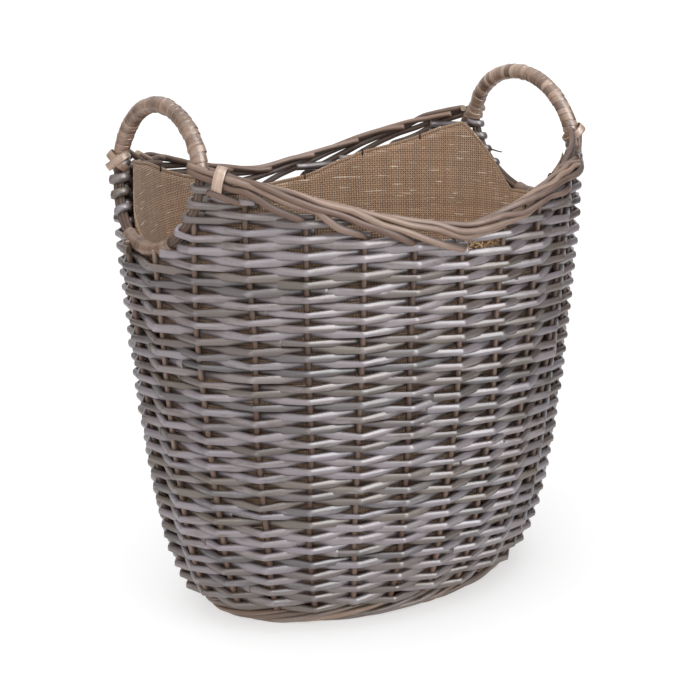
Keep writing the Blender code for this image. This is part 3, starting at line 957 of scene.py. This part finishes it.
def makeBase():
    # the floor of the basket: ovals of rods, in front of one stick and behind the next
    draw = np.random.default_rng(73)
    rods = []
    angle = np.linspace(0, 2 * math.pi * 1.004, 330)
    for k in range(mat["rounds"]):
        inset = mat["firstInset"] + mat["step"] * k
        height = mat["height"] + mat["wave"] * np.cos(12 * angle + math.pi * k)
        path, out = ovalPoint(foot["halfLength"] - inset, max(0.004, foot["halfWidth"] - inset), angle,
                              height, np.zeros_like(angle))
        rods.append(newRod(draw, path, out, np.full(len(angle), mat["radius"])))
    rodPiece("base_weave", rods, footWillow, "washed_willow", "base_mat")


footWillow = rodFinish("foot_willow", {
    "tones": [(0.0, (0.082, 0.052, 0.038)), (0.5, (0.150, 0.102, 0.078)), (1.0, (0.300, 0.195, 0.135))],
    "streak": (0.060, 0.038, 0.027), "wash": 0.35, "washSpread": 0.3, "washColour": (0.300, 0.262, 0.245),
    "speck": (0.030, 0.020, 0.014), "rust": 0.5, "rustColour": (0.300, 0.155, 0.088),
    "shadeFade": (-0.0020, 0.0026), "paintedShade": 0.85, "paintedShadeColour": (0.024, 0.014, 0.010),
    "cutColour": (0.440, 0.340, 0.240), "rough": 0.36, "specular": 0.5})
makeFoot()
makeBase()
for name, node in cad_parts.items():
    if "stick" in name:
        node.data.materials.clear()
        node.data.materials.append(footWillow)
print("foot and base woven")

liner = {
    "offset": -0.0108,
    "floor": 0.0262,
    "heelRadius": 0.016,
    "belowRim": 0.0085,
    "notchWidth": (0.0890, 0.1120),     # half width of its cut at the right hand hole, far side and near side
    "notchLevel": 0.34,      # the share of that cut that is level, over the sill
    "roundWidth": 0.0770,    # half width of the rounder cut at the left hand hole
    "sillDrop": -0.0010,
    "roundDrop": 0.0035,
    "thickness": 0.0011,
    "columns": 390,
    "rows": (14, 7, 46),     # on the floor, round the heel and up the wall
    "girth": 1.20,           # the length of pattern that goes round it
    "hemRadius": 0.0017,
    "hemDepth": 0.34,
    "thread": 0.0024,        # the pitch of its threads
    "midCut": 0.41,          # the height at which the cuts' widths are measured
}


def linerTop(angle):
    # the cut edge: under the border with a little sag between stitches, and round the hand holes
    number = stakeNumber(angle % (2 * math.pi))
    sag = 0.0016 * (0.5 + 0.5 * np.cos(math.pi * number + 0.6)) + 0.0009 * np.sin(number * 2.3)
    top = rimHeight(angle) - liner["belowRim"] - sag
    beside = np.abs(halfSizes(liner["midCut"])[1] * np.sin(angle))
    sill = hoop["height"] - hoop["halfHeight"]
    far, near = liner["notchWidth"]
    across = beside / np.where((np.sin(angle) < 0) & (np.cos(angle) > 0), near, far)
    low = sill - liner["sillDrop"]
    share = np.clip((across - liner["notchLevel"]) / (1 - liner["notchLevel"]), 0, 1)
    right = np.where(across < 1, low + (top - low) * share ** 1.1, top)
    low = sill - liner["roundDrop"]
    across = beside / liner["roundWidth"]
    left = np.where(across < 1, low + (top - low) * (1 - np.sqrt(np.clip(1 - across ** 2, 0, 1))) ** 0.8, top)
    return np.where(np.cos(angle) > 0, right, left)


def linerOffset(angle, height):
    # slack in the cloth: long soft folds that grow towards the top
    grow = np.clip((height - 0.05) / 0.30, 0, 1)
    wave = np.sin(5 * angle + 1.0) + 0.6 * np.sin(11 * angle + 14 * height) + 0.4 * np.sin(23 * angle + 2.0)
    return liner["offset"] - 0.0016 * grow * (1 + 0.5 * wave)


def makeLiner():
    # one sheet: out from the middle of the floor, round the heel and up the wall to the hem
    angle = 2 * math.pi * np.arange(liner["columns"]) / liner["columns"]
    top = linerTop(angle)
    floorRows, heelRows, wallRows = liner["rows"]
    floorEdge = liner["floor"] + 0 * angle
    inner = wallPoint(angle, floorEdge, linerOffset(angle, floorEdge) - liner["heelRadius"])
    rows = [inner * np.array([share, share, 1]) for share in np.linspace(0.04, 0.96, floorRows)]
    for bend in np.radians(np.linspace(0, 90, heelRows)):
        z = floorEdge + liner["heelRadius"] * (1 - np.cos(bend))
        rows.append(wallPoint(angle, z, linerOffset(angle, z) - liner["heelRadius"] * (1 - np.sin(bend))))
    low = floorEdge + liner["heelRadius"]
    for share in np.linspace(0, 1, wallRows)[1:]:
        z = low + (top - low) * share
        rows.append(wallPoint(angle, z, linerOffset(angle, z)))
    grid = np.array(rows)
    count, columns = grid.shape[:2]
    points = np.concatenate([grid.reshape(-1, 3), [[0, 0, liner["floor"]]]])
    quads, i, j, after = roundGrid(count, columns)
    corners = grid[np.stack([i, i, i + 1, i + 1], -1), np.stack([j, after, after, j], -1)]
    # the pattern runs level round the wall, and straight across the floor
    u = np.stack([j, j + 1, j + 1, j], -1) * liner["girth"] / columns
    onFloor = (i < floorRows)[..., None]
    v = np.where(onFloor, corners[..., 1], corners[..., 2])
    uv = np.stack([np.where(onFloor, corners[..., 0], u), v], -1)
    middle = len(points) - 1
    fan = [[int((k + 1) % columns), int(k), middle] for k in range(columns)]
    fanUv = np.stack([np.roll(grid[0, :, :2], -1, 0), grid[0, :, :2], np.zeros((columns, 2))], 1)
    uv = np.concatenate([uv.reshape(-1, 4, 2)[:, ::-1].reshape(-1, 2), fanUv.reshape(-1, 2)])
    tones = {"tone": np.zeros(len(points))}
    mesh = meshFrom("liner_cloth", points, quads.reshape(-1, 4)[:, ::-1], fan, uv, tones)
    mesh.polygons.foreach_set("use_smooth", np.ones(len(mesh.polygons), bool))
    cloth = piece("liner_cloth", mesh, hessian, "hessian", "hessian_liner")
    shell = cloth.modifiers.new("cloth", "SOLIDIFY")
    shell.thickness, shell.offset = liner["thickness"], 0
    closed = np.append(angle, angle[:3])
    edge = wallPoint(closed, linerTop(closed), linerOffset(closed, linerTop(closed)) - 0.0004)
    draw = np.random.default_rng(91)
    swell = 1 + 0.16 * np.interp(np.arange(len(closed)), np.arange(0, 400, 7), draw.normal(0, 1, 58))
    hem = {"path": edge, "out": wallOut(closed, edge[:, 2]), "radius": liner["hemRadius"] * swell,
           "tone": 0.5, "shade": 0.5, "start": 0.0, "depth": liner["hemDepth"]}
    hemPiece = rodPiece("liner_hem", [hem], hessian, "hessian")
    return edge


def hessianFinish():
    # plain weave: rounded threads both ways, uneven, with dark holes between and pale slubs along the weft
    made = Finish("hessian", roughness=0.95, specular=0.12, sheen=0.15)
    flat = made.node("ShaderNodeUVMap", {"uv_map": "along"})
    wander = made.noise(made.uv((60, 60)), 1.0, 2.0)
    sines = []
    for output in ("X", "Y"):
        place = made.node("ShaderNodeSeparateXYZ", {}, {0: flat}, output)
        sines.append((place * (math.pi / liner["thread"]) + wander * 1.6).maths("SINE"))
    warp, weft = (sine.maths("ABSOLUTE") for sine in sines)
    over = (sines[0] * sines[1]) * 0.5 + 0.5
    cover = (warp ** 0.6).maths("MAXIMUM", weft ** 0.6)
    height = cover * 0.6 + over * 0.4
    hole = 1 - made.between(cover, 0.62, 0.96)
    fibre = made.noise(made.uv((900, 900)), 1.0, 2.0)
    blotch = made.noise(made.uv((9, 12)), 1.0, 3.0)
    colour = made.mix(made.between(fibre, 0.3, 0.7), (0.280, 0.170, 0.108), (0.640, 0.440, 0.300))
    colour = made.mix(made.between(blotch, 0.35, 0.7) * 0.4, colour, (0.290, 0.180, 0.115))
    slub = made.between(made.noise(made.uv((34, 300)), 1.0, 1.0), 0.650, 0.685)
    colour = made.mix(slub, colour, (0.860, 0.720, 0.580))
    thick = made.noise(made.uv((4, 300)), 1.0, 1.0) + made.noise(made.uv((300, 4)), 1.0, 1.0)
    colour = made.mix(made.between(thick, 0.85, 1.2) * 0.4, colour, (0.190, 0.112, 0.070))
    colour = made.mix(over * 0.35, colour, (0.560, 0.400, 0.275))
    colour = made.mix(hole * 0.95, colour, (0.040, 0.020, 0.012))
    made.feed("Base Color", colour)
    made.bump(height + slub * 0.3, 0.6, 0.0008)
    return made.material


stitch = {"marks": ((3.2, 11.4), (16.2, 24.4)), "step": 1.4, "halfWidth": 0.0026, "halfHeight": 0.0036,
          "radius": 0.00075, "points": 22}


def makeStitches(edge):
    # dark thread loops that hold the hem to the border's inner rods
    draw = np.random.default_rng(97)
    loops = []
    angle = np.arctan2(edge[:, 1] / wall["rimWidth"], edge[:, 0] / wall["rimLength"])
    number = stakeNumber(angle % (2 * math.pi))
    turn = np.linspace(0, 2 * math.pi, stitch["points"])[:, None]
    for mark in np.concatenate([np.arange(*ends, stitch["step"]) for ends in stitch["marks"]]):
        k = int(np.argmin(np.abs(number - mark - draw.uniform(-0.1, 0.1))))
        out = wallOut(angle[k], edge[k, 2])
        centre = edge[k] + 0.0012 * out
        path = centre + stitch["halfWidth"] * np.cos(turn) * out \
            + stitch["halfHeight"] * np.sin(turn) * np.array([0, 0, 1.0])
        loops.append({"path": path, "out": unit(path - centre), "tone": 0.1, "shade": 0.2, "start": 0.0,
                      "radius": np.full(len(path), stitch["radius"])})
    rodPiece("liner_stitches", loops, threadFinish.material, "hessian", sides=6)


fray = {"stakes": (20.06, 20.96), "heights": (0.3690, 0.3860), "count": 260, "radius": 0.00042}


def makeFray():
    # loose fibres of the cloth's edge, where two rows stop short under the border
    draw = np.random.default_rng(55)
    rods = []
    for _ in range(fray["count"]):
        number = draw.uniform(*fray["stakes"])
        start = wallPoint(stakeAngle(number), draw.uniform(*fray["heights"]), draw.uniform(-0.0085, -0.0015))
        away = wallOut(stakeAngle(np.array(number)), 0.38)
        beside = np.cross(away, [0, 0, 1])
        reach = draw.uniform(0.004, 0.009)
        heading = reach * (draw.normal(0, 0.9) * beside + draw.normal(0.2, 0.5) * np.array([0, 0, 1.0]))
        t = np.linspace(0, 1, 5)[:, None]
        curl = 0.0012 * np.sin(3 * t) * (away * draw.normal(0.6, 0.6) + np.array([0, 0, draw.normal(0, 1)]))
        rods.append({"path": start + t * heading + curl, "out": np.tile(away, (5, 1)), "shade": 0.5,
                     "start": 0.0, "radius": np.full(5, fray["radius"]), "tone": draw.random()})
    rodPiece("frayed_edge", rods, fibreFinish.material, "hessian", sides=4)


hessian = hessianFinish()
fibreFinish = Finish("hessian_fibre", roughness=0.9, specular=0.2)
fibreFinish.feed("Base Color", fibreFinish.mix(fibreFinish.value("tone"), (0.330, 0.190, 0.090),
                                               (0.780, 0.560, 0.340)))
threadFinish = plainFinish("stitch_thread", (0.030, 0.020, 0.014), 0.8, 0.2)
makeStitches(makeLiner())
makeFray()
print("liner hung and stitched")


def setPlace(thing, place, right, up, back):
    turned = Matrix(np.column_stack([right, up, back]).tolist()).to_4x4()
    turned.translation = place
    thing.matrix_world = turned


def towards(azimuth, elevation=0.0):
    # the direction of a place round the basket, in degrees; azimuth is counted to the right of the camera's
    turn, rise = view["azimuth"] - math.radians(azimuth), math.radians(elevation)
    return np.array([-math.sin(turn) * math.cos(rise), -math.cos(turn) * math.cos(rise), math.sin(rise)])


def placeCamera():
    back = towards(0, math.degrees(view["elevation"]))
    right = np.array([math.cos(view["azimuth"]), -math.sin(view["azimuth"]), 0])
    up = np.cross(back, right)
    sine, cosine = math.sin(view["roll"]), math.cos(view["roll"])
    data = bpy.data.cameras.new("camera")
    data.lens, data.sensor_width = view["lens"], 36
    camera = added("camera", data)
    setPlace(camera, view["place"], cosine * right + sine * up, cosine * up - sine * right, back)
    bpy.context.scene.camera = camera


def lamp(name, azimuth, elevation, distance, width, height, radiance, glossOnly=False):
    # a soft light that faces the basket's middle
    away = towards(azimuth, elevation)
    data = bpy.data.lights.new(name, "AREA")
    data.shape, data.size, data.size_y = "RECTANGLE", width, height
    data.energy = radiance * math.pi * width * height
    made = added(name, data)
    made.visible_diffuse = not glossOnly
    side = unit(np.cross([0, 0, 1], away))
    place = np.array([0, 0, studio["aim"]]) + away * distance
    setPlace(made, place.tolist(), side, np.cross(away, side), away)


def standing(name, corners, finish):
    # a flat piece of the studio
    mesh = bpy.data.meshes.new(name)
    mesh.from_pydata([list(corner) for corner in corners], [], [(0, 1, 2, 3)])
    mesh.materials.append(finish.material)
    added(name, mesh)


def screen(name, azimuth, distance, width, height):
    # a black screen beside the basket that keeps the white room's light off that side; it stands outside the
    # main camera's view, but in front of a camera that looks from its own side
    away = towards(azimuth)
    beside = np.array([-away[1], away[0], 0]) * width / 2
    below, up = away * distance, np.array([0, 0, height])
    standing(name, [below - beside, below + beside, below + beside + up, below - beside + up], screenFinish)


studio = {"aim": 0.22, "world": 1.06, "floor": 0.50, "floorGlow": 0.55, "floorHalf": 8, "screen": 0.02}
placeCamera()
lamp("sideLight", 51, 34, 1.9, 1.30, 2.9, 7.0, glossOnly=True)
lamp("frontLight", -10, 24, 2.4, 1.2, 1.2, 2.2)
lamp("topLight", 10, 78, 2.3, 1.4, 1.4, 2.4)
world = bpy.data.worlds.new("studio")
bpy.context.scene.world = world
world.use_nodes = True
world.node_tree.nodes["Background"].inputs["Color"].default_value = (1, 1, 1, 1)
world.node_tree.nodes["Background"].inputs["Strength"].default_value = studio["world"]
floorFinish = plainFinish("floor_finish", [studio["floor"]] * 3, 0.9, 0.1)
floorFinish.shader.inputs["Emission Color"].default_value = (1, 1, 1, 1)
floorFinish.shader.inputs["Emission Strength"].default_value = studio["floorGlow"]
half = studio["floorHalf"]
standing("floor", [(-half, -half, 0), (half, -half, 0), (half, half, 0), (-half, half, 0)], floorFinish)
screenFinish = plainFinish("screen_finish", [studio["screen"]] * 3, 0.9, 0.1)
screen("rightScreen", 106, 1.0, 1.0, 1.1)
screen("leftScreen", -106, 1.3, 0.9, 1.1)
bpy.context.scene.view_settings.view_transform = "Standard"
print("studio set up")
